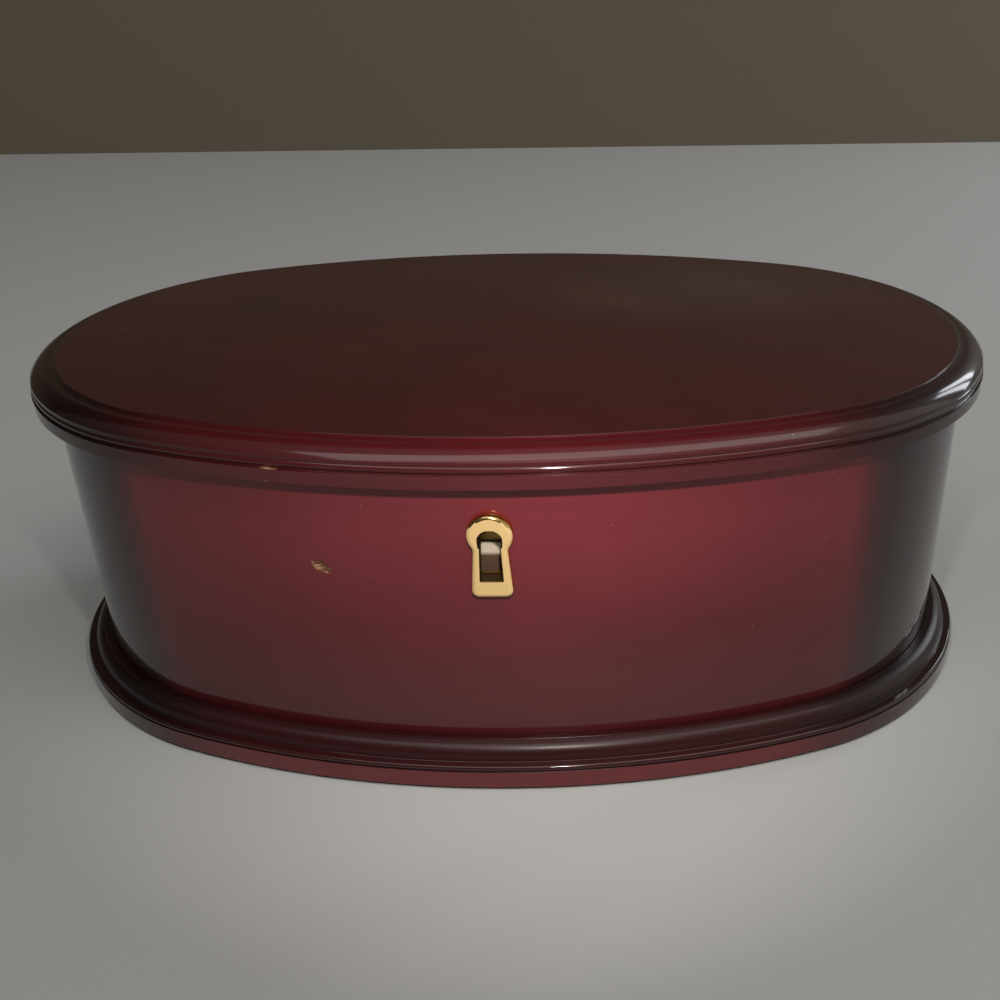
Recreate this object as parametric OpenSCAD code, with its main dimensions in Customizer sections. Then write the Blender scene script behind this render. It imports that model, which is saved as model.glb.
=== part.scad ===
// Oval jewelry box: moulded base, bent wall, hinged moulded lid, lock, velvet interior.
// Millimetres, +Z up, front towards -Y, origin under the middle of the box.

/* [Outline] */
// Length of the wall, outside
wall_l = 280; // [260:1:300]
// Depth of the wall from front to back, outside
wall_d = 172; // [162:1:184]
// Radius of the long front and back of the wall, outside
side_r = 261.5; // [250:0.5:320]
// Thickness of the wall
wall_t = 8; // [7:0.5:11]
// Height of the wall that shows between base and lid
wall_h = 81; // [66:1:110]

/* [Base] */
// Thickness of the felt sheet underneath
felt_t = 1; // [0.5:0.1:2]
// Distance of the felt's edge inside the base's edge
felt_inset = 4; // [2:0.5:10]
// Thickness of the base board
base_t = 12.5; // [11:0.5:16]
// Distance the base stands out from the wall
base_over = 9; // [8.5:0.5:12]
// Radius of the base's rounded moulding
base_round_r = 5; // [4:0.5:6]
// Width of the ledge between the base's rounded moulding and its fascia
base_ledge = 1.5; // [0.5:0.1:1.8]
// Upright below the base's rounded moulding
base_step = 1.4; // [0.5:0.1:2]
// Drop from the base's top to the crest of its rounded moulding
base_drop = 0.5; // [0.3:0.1:0.8]
// Depth of the groove that holds the wall
groove_d = 3; // [2:0.5:5]

/* [Lid] */
// Thickness of the lid board
lid_t = 11; // [10:0.5:14]
// Distance the lid stands out from the wall
lid_over = 5.5; // [4.5:0.5:7]
// Drop from the panel to the crest of the lid's rounded moulding
lid_drop = 0.4; // [0.3:0.1:0.6]
// Width of the hollow between the panel and the rounded moulding
lid_hollow_w = 3.6; // [3:0.1:4.5]
// Radius of that hollow
lid_hollow_r = 2.6; // [2.4:0.1:3.5]
// Radius of the lid's rounded moulding
lid_round_r = 3.8; // [3:0.1:4.2]
// Radius of the bead between the rounded moulding and the fascia
bead_r = 1.2; // [0.8:0.1:1.5]
// Upright left above and below the bead together
lid_step = 0.7; // [0.4:0.1:1]
// Distance the bead stands back from the fascia, and the rounded moulding from the bead
quirk = 0.5; // [0.3:0.1:0.7]
// Thickness of the mirror
mirror_t = 2.5; // [2:0.5:4]
// Distance of the mirror's edge inside the wall's outside
mirror_inset = 34; // [28:1:45]
// Thickness of the lid's lining card
lid_lining_t = 2.4; // [1.5:0.1:4]
// Width of the mirror's edge that the lining holds
mirror_lap = 2.5; // [1.5:0.5:5]

/* [Interior] */
// Thickness of the velvet-covered card round the wall
lining_t = 1.5; // [1:0.1:3]
// Distance of the lining's top below the rim
lining_drop = 5; // [4:0.5:10]
// Thickness of the floor card
floor_t = 1.5; // [1:0.1:3]
// Distance of each cross divider from the middle
divider_x = 44; // [36:1:60]
// Thickness of a divider
divider_t = 4; // [2:0.5:6]
// Height of the dividers
divider_h = 32; // [24:1:45]
// Gap between two ring rolls
roll_gap = 1; // [0.5:0.1:3]
// Number of ring rolls
roll_count = 7; // [5:1:8]
// Thickness of a floor pad at its edge
pad_t = 4; // [3:0.5:8]
// Height of a floor pad's crown above its edge
pad_crown = 2; // [1:0.5:4]

/* [Hinges] */
// Length of a hinge
hinge_l = 26; // [22:1:32]
// Distance of each hinge's middle from the middle of the box
hinge_x = 30; // [24:1:34]
// Thickness of a hinge leaf
leaf_t = 1.2; // [0.8:0.1:1.5]
// Width of a leaf from the pin's axis to its edge
leaf_w = 10; // [8.5:0.1:10.5]
// Outside radius of the knuckles
knuckle_r = 2; // [1.8:0.1:2.4]
// Number of knuckles on a hinge
knuckle_count = 5; // [3:2:7]
// Radius of the hinge pin
pin_r = 1; // [0.7:0.1:1.2]
// Length of the hinge and strike screws
screw_l = 7; // [5:0.5:7.5]
// Radius of a screw's shank
screw_r = 0.9; // [0.6:0.1:1]
// Radius of a screw's head
screw_head_r = 1.8; // [1.5:0.1:2]
// Height of a screw's countersunk head
screw_head_h = 0.9; // [0.6:0.1:1]

/* [Lock] */
// Width of the lock's inner plate and selvedge
lock_w = 40; // [36:1:46]
// Height of the lock's inner plate below the rim
lock_h = 35; // [33:1:40]
// Thickness of the lock's inner plate
lock_plate_t = 1.2; // [0.8:0.1:1.5]
// Thickness of the selvedge on the rim
selvedge_t = 1.5; // [1:0.1:1.8]
// Width of the lock's cap
cap_w = 29; // [28:1:31]
// Depth of the lock's cap
cap_d = 4.6; // [4.2:0.1:4.8]
// Thickness of the cap's sheet
cap_t = 0.8; // [0.5:0.1:0.9]
// Distance the bolt slides
bolt_travel = 2.6; // [1.5:0.1:2.8]
// Height of the bolt's bar
bolt_h = 4; // [3:0.5:4.5]
// Thickness of the bolt
bolt_t = 2.4; // [1.8:0.1:2.6]
// Width of the strike's tongue
tongue_w = 7; // [6:0.5:8]
// Length of the strike's tongue below the lid
tongue_l = 6.9; // [6.5:0.1:7]
// Thickness of the strike's tongue
tongue_t = 1.6; // [1.2:0.1:1.8]
// Length of the strike plate
strike_l = 26; // [24:1:30]
// Width of the strike plate
strike_w = 5.4; // [5:0.1:6]
// Thickness of the strike plate
strike_t = 1.2; // [0.8:0.1:2]

/* [Escutcheon] */
// Distance the escutcheon stands out from the wall
escutcheon_t = 2.6; // [1.5:0.1:3.5]
// Radius of the escutcheon's round head
head_r = 6.2; // [5.5:0.1:7]
// Distance of the head's middle below the rim
head_drop = 14.9; // [13:0.1:16]
// Width of the escutcheon's waist at the height of the head's middle
waist_w = 8.9; // [8:0.1:9.5]
// Width of the escutcheon's foot
foot_w = 11.6; // [10:0.1:13]
// Distance of the foot's lower edge below the rim
foot_drop = 33.5; // [31:0.1:36]
// Radius of the foot's corners
foot_r = 2.1; // [1:0.1:3]
// Radius of the keyhole's round part
key_r = 3.3; // [2.8:0.1:3.5]
// Distance of the keyhole's round part below the rim
key_drop = 16.4; // [15:0.1:17]
// Distance of the keyhole's lower end below the rim
slot_drop = 28.2; // [25:0.1:29]
// Width of the keyhole's slot at the top
slot_top_w = 5.2; // [4:0.1:5.5]
// Width of the keyhole's slot at the bottom
slot_foot_w = 6; // [4:0.1:6.5]
// Thickness of the collar that the escutcheon has in the wall
collar_t = 0.7; // [0.4:0.1:1]
// Length of the collar in the wall
collar_l = 1.4; // [0.8:0.1:1.6]

/* [Clearances] */
// Gap of glued and let-in pieces
glue_gap = 0.1; // [0.05:0.01:0.2]
// Gap of soft and lined pieces
soft_gap = 0.3; // [0.2:0.05:0.6]
// Gap between the lid's lining and the wall's lining
lip_gap = 1.2; // [0.8:0.1:2]
// Radial gap of a pin in its knuckles
pin_gap = 0.05; // [0.02:0.01:0.1]
// Gap between moving metal pieces
run_gap = 0.2; // [0.1:0.05:0.3]
// Gap round the hinge barrel in the lid
barrel_gap = 0.5; // [0.3:0.1:0.8]

/* [Hidden] */
$fn = 96;
eps = 0.5;

// Four-arc oval of the wall's outside
half_l = wall_l / 2;
half_d = wall_d / 2;
end_r = (2 * side_r * half_d - half_d * half_d - half_l * half_l) / (2 * (side_r - half_l));
end_x = half_l - end_r;
side_y = side_r - half_d;

// Heights
base_z = felt_t;
floor_z = base_z + base_t;
rim_z = floor_z + wall_h;
top_z = rim_z + lid_t;
card_z = floor_z + floor_t;

// Mouldings
arris = 0.2;
bead_band = 2 * bead_r + lid_step;
bead_z = lid_t - lid_drop - lid_round_r - bead_band / 2;
hollow_in = lid_over - 2 * quirk - lid_round_r - lid_hollow_w / 2 + arris;
hollow_lift = sqrt(lid_hollow_r * lid_hollow_r - lid_hollow_w * lid_hollow_w / 4);

// Interior
lining_in = wall_t + glue_gap + lining_t;
divider_in = divider_x - divider_t / 2;
divider_out = divider_x + divider_t / 2;
roll_room = 2 * (sqrt(pow(side_r - lining_in, 2) - divider_in * divider_in) - side_y) - 2 * soft_gap;
roll_pitch = roll_room / roll_count;
roll_d = roll_pitch - roll_gap;
roll_flat = 0.5;
roll_edge_r = 2;
bay_l = half_l - lining_in - divider_out;
pad_h = pad_t + pad_crown;
crown_r = (bay_l * bay_l / 4 + pad_crown * pad_crown) / (2 * pad_crown);
crown_fn = 720;

// Hinges
hinge_y = half_d + knuckle_r + soft_gap;
knuckle_w = hinge_l / knuckle_count;
leaf_screw_x = 7;
leaf_screw_in = 2.8;
leaf_screw_y = leaf_w - leaf_screw_in;
screw_slot_w = 0.4;
screw_slot_d = 0.4;
small_screw_scale = 0.9;

// Lock, measured from the wall's inner face at the front and from the rim
lock_y = -(half_d - wall_t);
cap_y = lock_y - lock_plate_t;
cavity_y = cap_y - cap_d + cap_t;
bolt_y = (cap_y + cavity_y) / 2;
tongue_foot_z = rim_z - tongue_l;
bolt_top_z = tongue_foot_z - 3 * run_gap;
bolt_z = bolt_top_z - bolt_h;
notch_rise = 1.2;
notch_z = tongue_foot_z + notch_rise;
notch_h = 2.8;
notch_w = bolt_travel;
nose_w = bolt_travel - 2 * run_gap;
nose_x = -tongue_w / 2 - 4 * run_gap;
post_w = 3;
bolt_heel = 2.5;
bolt_left_x = nose_x - nose_w - post_w - bolt_heel;
bolt_right_x = cap_w / 2 - cap_t - bolt_travel - 2 * run_gap;
cap_rise = 2;
cap_foot_z = rim_z - lock_h + cap_rise;
cap_h = lock_h - cap_rise - selvedge_t - 2 * glue_gap;
rib_t = 1;
rib_x = 5;
lever_w = 12;
lever_t = 1;
lever_drop = 21;
lever_foot_z = cap_foot_z + cap_t + run_gap;
spring_t = 0.6;
spring_rise = 2.4;
spring_side = 3;
spring_x = tongue_w / 2 + spring_side;
lock_screw_x = (lock_w + cap_w) / 4;
lock_screw_edge = 4;
lock_screw_drop = 6;
strike_screw_in = 4;

// Profile carried round the oval; x is the distance outside the wall's face
module oval_ring() {
    for (turn = [0, 180])
        rotate([0, 0, turn]) {
            intersection() {
                shifted([end_x, 0, 0])
                    rotate([0, 0, -90]) rotate_extrude(angle = 180) shifted([end_r, 0, 0]) children();
                beyond_joint(1);
                beyond_joint(-1);
            }
            intersection() {
                shifted([0, -side_y, 0]) rotate_extrude(angle = 180) shifted([side_r, 0, 0]) children();
                sector([[0, -side_y], [2 * end_x, side_y], [-2 * end_x, side_y]]);
            }
        }
}

// Ground on the end's side of the line where an end arc meets a side arc
module beyond_joint(side) {
    y = side * side_y;
    sector([[0, -y], [2 * end_x, y], [4 * end_x, y], [4 * end_x, -y]]);
}

module sector(corners) {
    translate([0, 0, -wall_l]) linear_extrude(2 * wall_l) polygon(corners);
}

// Move made in whole, thousandth and finer steps, so that no digit is lost where the arcs meet
module shifted(v) {
    whole = [for (d = v) round(d)];
    fine = [for (d = v - whole) round(1000 * d) / 1000];
    translate(whole) translate(fine) translate(v - whole - fine) children();
}

module oval_plate(grow, h) {
    join_x = end_x + (end_r + grow) * end_x / (side_r - end_r);
    intersection() {
        translate([0, -side_y, 0]) cylinder(r = side_r + grow, h = h);
        translate([0, side_y, 0]) cylinder(r = side_r + grow, h = h);
        translate([-join_x, -half_d - grow - eps, 0]) cube([2 * join_x, 2 * (half_d + grow + eps), h]);
    }
    for (side = [-1, 1])
        translate([side * end_x, 0, 0]) cylinder(r = end_r + grow, h = h);
}

module wood_screw() {
    difference() {
        union() {
            translate([0, 0, -screw_head_h]) cylinder(r1 = screw_r, r2 = screw_head_r, h = screw_head_h);
            translate([0, 0, -screw_l]) cylinder(r = screw_r, h = screw_l - screw_head_h);
        }
        translate([-screw_head_r, -screw_slot_w / 2, -screw_slot_d])
            cube([2 * screw_head_r, screw_slot_w, screw_slot_d + eps]);
    }
}

module screw_hole() {
    translate([0, 0, -screw_head_h])
        cylinder(r1 = screw_r + pin_gap, r2 = screw_head_r + pin_gap, h = screw_head_h);
    translate([0, 0, -screw_l - glue_gap]) cylinder(r = screw_r + pin_gap, h = screw_l);
    cylinder(r = screw_head_r + pin_gap, h = eps);
}

// Board whose edge is cut to a fascia, a ledge, an upright and a rounded moulding; children are left standing
module moulded_board(over, t, ledge, step, round_r, drop) {
    round_in = over - ledge - round_r;
    round_z = t - drop - round_r;
    difference() {
        oval_plate(over, t);
        oval_ring() difference() {
            translate([round_in, round_z - step]) square([over, t]);
            translate([round_in, round_z]) circle(r = round_r);
            translate([round_in - eps, 0]) square([round_r + eps + arris, round_z]);
            children();
        }
    }
}

module base_felt() {
    color("#2a1a1c") oval_plate(base_over - felt_inset, felt_t);
}

module base_board() {
    color("#5a1d20") difference() {
        translate([0, 0, base_z])
            moulded_board(base_over, base_t, base_ledge, base_step, base_round_r, base_drop);
        translate([0, 0, floor_z - groove_d])
            oval_ring() translate([-wall_t - glue_gap, 0]) square([wall_t + 2 * glue_gap, groove_d + eps]);
    }
}

module box_wall() {
    color("#6b2426") difference() {
        translate([0, 0, floor_z - groove_d]) oval_plate(0, wall_h + groove_d);
        translate([0, 0, floor_z - groove_d - eps]) oval_plate(-wall_t, wall_h + groove_d + 2 * eps);
        hinge_pockets() translate([-hinge_l / 2 - glue_gap, -leaf_w - glue_gap, -2 * glue_gap - leaf_t])
            cube([hinge_l + 2 * glue_gap, leaf_w + 2 * knuckle_r, leaf_t + eps]);
        hinge_screw_places() translate([0, 0, -glue_gap]) screw_hole();
        lock_pockets();
        key_opening(collar_t + glue_gap, -half_d - eps, cap_y);
        lock_screw_places() screw_hole();
    }
}

module wall_lining() {
    lining_h = rim_z - lining_drop - card_z;
    color("#7a1530") difference() {
        translate([0, 0, card_z]) oval_plate(-wall_t - glue_gap, lining_h);
        translate([0, 0, card_z - eps]) oval_plate(-lining_in, lining_h + 2 * eps);
        translate([-lock_w / 2 - soft_gap, -half_d, rim_z - lock_h - soft_gap])
            cube([lock_w + 2 * soft_gap, half_d / 2, lock_h]);
    }
}

module floor_card() {
    color("#7a1530") translate([0, 0, floor_z]) oval_plate(-wall_t - soft_gap, floor_t);
}

module divider(side) {
    intersection() {
        translate([side * divider_x - divider_t / 2, -half_d, card_z]) cube([divider_t, wall_d, divider_h]);
        translate([0, 0, card_z]) oval_plate(-lining_in - soft_gap, divider_h);
    }
}

module divider_left() {
    color("#7a1530") divider(-1);
}

module divider_right() {
    color("#7a1530") divider(1);
}

// Pad of an end bay, its top a shallow crown
module floor_pad(side) {
    middle_x = side * (divider_out + soft_gap + half_l / 2);
    crown_x = side * (divider_out + bay_l / 2);
    translate([0, 0, card_z]) intersection() {
        oval_plate(-lining_in - soft_gap, pad_h);
        translate([middle_x - half_l / 2, -half_d, 0]) cube([half_l, wall_d, pad_h]);
        translate([crown_x, half_d, pad_h - crown_r])
            rotate([90, 0, 0]) cylinder(r = crown_r, h = wall_d, $fn = crown_fn);
    }
}

module pad_left() {
    color("#7a1530") floor_pad(-1);
}

module pad_right() {
    color("#7a1530") floor_pad(1);
}

module ring_roll() {
    roll_r = roll_d / 2;
    roll_l = 2 * (divider_in - soft_gap);
    intersection() {
        translate([-roll_l / 2, 0, roll_r - roll_flat]) rotate([0, 90, 0]) rotate_extrude() {
            translate([0, roll_edge_r]) square([roll_r, roll_l - 2 * roll_edge_r]);
            square([roll_r - roll_edge_r, roll_l]);
            for (end = [roll_edge_r, roll_l - roll_edge_r])
                translate([roll_r - roll_edge_r, end]) circle(r = roll_edge_r);
        }
        translate([-roll_l, -roll_d, 0]) cube([2 * roll_l, 2 * roll_d, roll_d]);
    }
}

module ring_rolls() {
    color("#7a1530") for (i = [0 : roll_count - 1])
        translate([0, (i - (roll_count - 1) / 2) * roll_pitch, card_z]) ring_roll();
}

module keyhole(grow) {
    translate([0, -key_drop]) circle(r = key_r + grow);
    polygon([
        [-slot_top_w / 2 - grow, -key_drop],
        [slot_top_w / 2 + grow, -key_drop],
        [slot_foot_w / 2 + grow, -slot_drop - grow],
        [-slot_foot_w / 2 - grow, -slot_drop - grow]
    ]);
}

// Keyhole-shaped prism between two depths, from the front of the box inwards
module key_opening(grow, y_front, y_back) {
    translate([0, y_back, rim_z]) rotate([90, 0, 0]) linear_extrude(y_back - y_front) keyhole(grow);
}

module escutcheon_outline() {
    translate([0, -head_drop]) circle(r = head_r);
    polygon([
        [-waist_w / 2, -head_drop],
        [waist_w / 2, -head_drop],
        [foot_w / 2, foot_r - foot_drop],
        [foot_w / 2 - foot_r, -foot_drop],
        [foot_r - foot_w / 2, -foot_drop],
        [-foot_w / 2, foot_r - foot_drop]
    ]);
    for (side = [-1, 1])
        translate([side * (foot_w / 2 - foot_r), foot_r - foot_drop]) circle(r = foot_r);
}

module escutcheon() {
    color("#e3be79") difference() {
        union() {
            translate([0, -half_d, rim_z])
                rotate([90, 0, 0]) linear_extrude(escutcheon_t) escutcheon_outline();
            key_opening(collar_t, -half_d, -half_d + collar_l);
        }
        key_opening(0, -half_d - escutcheon_t - eps, -half_d + collar_l + eps);
    }
}

module lock_pockets() {
    deep = lock_plate_t + cap_d + glue_gap;
    translate([-lock_w / 2 - glue_gap, lock_y - lock_plate_t, rim_z - lock_h - glue_gap])
        cube([lock_w + 2 * glue_gap, half_d / 2, lock_h + 2 * eps]);
    translate([-cap_w / 2 - glue_gap, lock_y - deep, cap_foot_z - glue_gap])
        cube([cap_w + 2 * glue_gap, deep, lock_h]);
    translate([-lock_w / 2 - glue_gap, lock_y - deep, rim_z - selvedge_t - 2 * glue_gap])
        cube([lock_w + 2 * glue_gap, deep, selvedge_t + eps]);
}

// Slot for the strike's tongue
module tongue_slot(z, h) {
    slot_w = tongue_w + 4 * run_gap;
    translate([-slot_w / 2, bolt_y - bolt_t / 2, z]) cube([slot_w, bolt_t, h]);
}

// Inner plate and selvedge are one bent piece
module lock_plate() {
    plate_h = lock_h - glue_gap;
    color("#8a8578") difference() {
        translate([-lock_w / 2, cap_y, rim_z - lock_h]) union() {
            cube([lock_w, lock_plate_t, plate_h]);
            translate([0, -cap_d, plate_h - selvedge_t]) cube([lock_w, cap_d + lock_plate_t, selvedge_t]);
        }
        tongue_slot(rim_z - selvedge_t - eps, selvedge_t + 2 * eps);
        lock_screw_places() screw_hole();
    }
}

module lock_cap() {
    color("#8a8578") difference() {
        union() {
            difference() {
                translate([-cap_w / 2, cap_y - cap_d, cap_foot_z]) cube([cap_w, cap_d, cap_h]);
                translate([cap_t - cap_w / 2, cavity_y, cap_foot_z + cap_t])
                    cube([cap_w - 2 * cap_t, cap_d, cap_h - 2 * cap_t]);
                tongue_slot(cap_foot_z + cap_h - cap_t - eps, cap_t + 2 * eps);
            }
            for (flip = [0, 1])
                mirror([flip, 0, 0])
                    translate([rib_x, cavity_y - cap_t / 2, bolt_z - run_gap - rib_t])
                        cube([(cap_w - cap_t) / 2 - rib_x, cap_y - cavity_y + cap_t / 2 - run_gap, rib_t]);
        }
        key_opening(glue_gap, cap_y - cap_d - eps, cavity_y + eps / 2);
    }
}

module lock_lever() {
    color("#a39c8c") translate([-lever_w / 2, cap_y - lever_t, lever_foot_z])
        cube([lever_w, lever_t, rim_z - lever_drop - lever_foot_z]);
}

module lock_bolt() {
    color("#b08d4c") translate([0, bolt_y - bolt_t / 2, 0]) {
        difference() {
            translate([bolt_left_x, 0, bolt_z]) cube([bolt_right_x - bolt_left_x, bolt_t, bolt_h]);
            translate([0, -eps, bolt_z]) rotate([-90, 0, 0]) cylinder(r = bolt_h / 2, h = bolt_t + 2 * eps);
        }
        translate([nose_x - nose_w - post_w, 0, bolt_top_z - eps])
            cube([post_w, bolt_t, notch_z + notch_h - bolt_top_z + eps]);
        translate([nose_x - nose_w - eps, 0, notch_z + 2 * run_gap])
            cube([nose_w + eps, bolt_t, notch_h - 4 * run_gap]);
    }
}

module bolt_spring() {
    root_x = cap_w / 2 - cap_t;
    foot_z = bolt_top_z + pin_gap;
    color("#c9c4b8") translate([0, bolt_y + tongue_t / 2, 0]) rotate([90, 0, 0]) linear_extrude(tongue_t)
        polygon([
            [spring_x, foot_z],
            [spring_x + spring_t, foot_z],
            [root_x, foot_z + spring_rise],
            [root_x, foot_z + spring_rise + spring_t]
        ]);
}

module lock_screw_places() {
    for (side = [-1, 1], drop = [lock_screw_drop, lock_h - lock_screw_edge])
        translate([side * lock_screw_x, lock_y, rim_z - drop])
            rotate([-90, 0, 0]) scale(small_screw_scale) children();
}

module lock_screws() {
    color("#d9b65f") lock_screw_places() wood_screw();
}

module hinge_pockets() {
    for (side = [-1, 1])
        translate([side * hinge_x, hinge_y, rim_z]) children();
}

module hinge_screw_places() {
    hinge_pockets() for (side = [-1, 1])
        translate([side * leaf_screw_x, -leaf_screw_y, 0]) children();
}

// Leaf below the joint, its middle on the pin; the odd or even knuckles are its own
module hinge_leaf(first) {
    difference() {
        union() {
            difference() {
                translate([-hinge_l / 2, -leaf_w, -glue_gap - leaf_t]) cube([hinge_l, leaf_w, leaf_t]);
                for (i = [1 - first : 2 : knuckle_count - 1])
                    translate([i * knuckle_w - hinge_l / 2 - run_gap, -knuckle_r - 2 * run_gap, -2 * leaf_t])
                        cube([knuckle_w + 2 * run_gap, 3 * knuckle_r, 3 * leaf_t]);
            }
            for (i = [first : 2 : knuckle_count - 1])
                translate([i * knuckle_w - hinge_l / 2 + run_gap / 2, 0, 0])
                    rotate([0, 90, 0]) cylinder(r = knuckle_r, h = knuckle_w - run_gap);
        }
        translate([-hinge_l, 0, 0]) rotate([0, 90, 0]) cylinder(r = pin_r + pin_gap, h = 2 * hinge_l);
        for (side = [-1, 1])
            translate([side * leaf_screw_x, -leaf_screw_y, -glue_gap]) screw_hole();
    }
}

module hinge_leaf_wall(side) {
    color("#c9a24e") translate([side * hinge_x, hinge_y, rim_z]) hinge_leaf(0);
}

module hinge_leaf_lid(side) {
    color("#c9a24e") translate([side * hinge_x, hinge_y, rim_z]) mirror([0, 0, 1]) hinge_leaf(1);
}

module hinge_pin(side) {
    color("#b8964a") translate([side * hinge_x - hinge_l / 2, hinge_y, rim_z])
        rotate([0, 90, 0]) cylinder(r = pin_r, h = hinge_l);
}

module hinge_leaf_wall_left() {
    hinge_leaf_wall(-1);
}

module hinge_leaf_wall_right() {
    hinge_leaf_wall(1);
}

module hinge_leaf_lid_left() {
    hinge_leaf_lid(-1);
}

module hinge_leaf_lid_right() {
    hinge_leaf_lid(1);
}

module hinge_pin_left() {
    hinge_pin(-1);
}

module hinge_pin_right() {
    hinge_pin(1);
}

module hinge_screws_wall() {
    color("#d9b65f") hinge_screw_places() translate([0, 0, -glue_gap]) wood_screw();
}

module hinge_screws_lid() {
    color("#d9b65f") hinge_screw_places() mirror([0, 0, 1]) translate([0, 0, -glue_gap]) wood_screw();
}

module lid_board() {
    color("#5a1d20") difference() {
        translate([0, 0, rim_z])
            moulded_board(lid_over, lid_t, 2 * quirk, bead_band, lid_round_r, lid_drop)
                translate([lid_over - quirk - bead_r, bead_z]) circle(r = bead_r);
        translate([0, 0, top_z]) oval_ring() translate([hollow_in, hollow_lift]) circle(r = lid_hollow_r);
        translate([0, 0, rim_z - eps]) oval_plate(glue_gap - mirror_inset, mirror_t + eps);
        hinge_pockets() {
            translate([-hinge_l / 2 - glue_gap, -leaf_w - glue_gap, -eps])
                cube([hinge_l + 2 * glue_gap, leaf_w, leaf_t + 2 * glue_gap + eps]);
            translate([-hinge_l / 2 - 2 * run_gap, 0, 0]) rotate([0, 90, 0])
                cylinder(r = knuckle_r + barrel_gap, h = hinge_l + 4 * run_gap);
            translate([-hinge_l / 2 - 2 * run_gap, 0, -eps])
                cube([hinge_l + 4 * run_gap, 2 * lid_over, knuckle_r + barrel_gap + eps]);
        }
        hinge_screw_places() mirror([0, 0, 1]) translate([0, 0, -glue_gap]) screw_hole();
        translate([-strike_l / 2 - glue_gap, bolt_y - strike_w / 2 - glue_gap, rim_z - eps])
            cube([strike_l + 2 * glue_gap, strike_w + 2 * glue_gap, strike_t + glue_gap + eps]);
        strike_screw_places() screw_hole();
    }
}

module lid_lining() {
    color("#7a1530") translate([0, 0, rim_z - lid_lining_t]) difference() {
        oval_plate(-lining_in - lip_gap, lid_lining_t);
        translate([0, 0, -eps]) oval_plate(-mirror_inset - mirror_lap, lid_lining_t + 2 * eps);
    }
}

module lid_mirror() {
    color("#c8d2d6") translate([0, 0, rim_z]) oval_plate(-mirror_inset, mirror_t);
}

module strike_screw_places() {
    for (side = [-1, 1])
        translate([side * (strike_l / 2 - strike_screw_in), bolt_y, rim_z + glue_gap])
            mirror([0, 0, 1]) scale(small_screw_scale) children();
}

module strike_plate() {
    color("#c9a24e") difference() {
        union() {
            translate([-strike_l / 2, bolt_y - strike_w / 2, rim_z + glue_gap])
                cube([strike_l, strike_w, strike_t]);
            translate([-tongue_w / 2, bolt_y - tongue_t / 2, tongue_foot_z])
                cube([tongue_w, tongue_t, tongue_l + glue_gap + strike_t / 2]);
        }
        translate([-tongue_w / 2 - eps, bolt_y - tongue_t, notch_z])
            cube([notch_w + eps, 2 * tongue_t, notch_h]);
        strike_screw_places() screw_hole();
    }
}

module strike_screws() {
    color("#d9b65f") strike_screw_places() wood_screw();
}

base_felt();
base_board();
box_wall();
wall_lining();
floor_card();
divider_left();
divider_right();
pad_left();
pad_right();
ring_rolls();
escutcheon();
lock_plate();
lock_cap();
lock_lever();
lock_bolt();
bolt_spring();
lock_screws();
hinge_leaf_wall_left();
hinge_leaf_wall_right();
hinge_pin_left();
hinge_pin_right();
hinge_screws_wall();
lid_board();
lid_lining();
lid_mirror();
hinge_leaf_lid_left();
hinge_leaf_lid_right();
hinge_screws_lid();
strike_plate();
strike_screws();
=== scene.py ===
import math

import bpy
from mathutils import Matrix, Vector


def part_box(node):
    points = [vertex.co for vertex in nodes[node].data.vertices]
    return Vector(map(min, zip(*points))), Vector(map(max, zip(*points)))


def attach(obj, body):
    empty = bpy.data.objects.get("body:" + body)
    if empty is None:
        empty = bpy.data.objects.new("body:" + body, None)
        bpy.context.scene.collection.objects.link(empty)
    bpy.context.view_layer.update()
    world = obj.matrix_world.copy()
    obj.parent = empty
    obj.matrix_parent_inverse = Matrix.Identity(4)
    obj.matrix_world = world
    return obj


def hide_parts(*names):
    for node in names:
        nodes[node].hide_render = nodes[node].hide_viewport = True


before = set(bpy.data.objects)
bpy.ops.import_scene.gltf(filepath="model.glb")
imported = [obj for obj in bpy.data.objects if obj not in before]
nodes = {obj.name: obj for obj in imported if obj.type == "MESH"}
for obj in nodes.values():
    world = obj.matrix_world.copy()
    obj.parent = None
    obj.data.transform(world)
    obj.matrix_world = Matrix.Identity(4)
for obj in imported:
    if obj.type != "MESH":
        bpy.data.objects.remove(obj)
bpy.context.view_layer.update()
mm = 0.001
print("frame loaded,", len(nodes), "nodes")


# Colours are written as sRGB hex and turned to linear here
def hexColour(code):
    channels = [int(code[i:i + 2], 16) / 255 for i in (1, 3, 5)]
    linear = [c / 12.92 if c <= 0.04045 else ((c + 0.055) / 1.055) ** 2.4 for c in channels]
    return (*linear, 1.0)


# One node with its settings; an input is a value or the socket that feeds it
def addNode(tree, kind, inputs=None, **settings):
    node = tree.nodes.new(kind)
    for key, value in settings.items():
        setattr(node, key, value)
    for key, value in (inputs or {}).items():
        if isinstance(value, bpy.types.NodeSocket):
            tree.links.new(value, node.inputs[key])
        else:
            node.inputs[key].default_value = value
    return node


def newMaterial(name):
    material = bpy.data.materials.new(name)
    material.use_nodes = True
    material.node_tree.nodes.clear()
    return material, material.node_tree


def finishMaterial(tree, shaderInputs):
    shader = addNode(tree, "ShaderNodeBsdfPrincipled", shaderInputs)
    addNode(tree, "ShaderNodeOutputMaterial", {"Surface": shader.outputs["BSDF"]})


def setStops(ramp, stops):
    elements = ramp.color_ramp.elements
    while len(elements) < len(stops):
        elements.new(0.5)
    for element, (place, colour) in zip(elements, stops):
        element.position = place
        element.color = colour


def paint(piece, material):
    piece.data.materials.clear()
    piece.data.materials.append(material)


# Camera of the view from the front and above, close to the box
camera = {
    "place": (29.5 * mm, -346.3 * mm, 223.8 * mm),
    "turn": -1.34,       # degrees towards +X
    "down": 30.16,       # degrees below the horizon
    "roll": -0.985,
    "lens": 41.4,
    "shift": (-0.0806, 0.0560),
}


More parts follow.
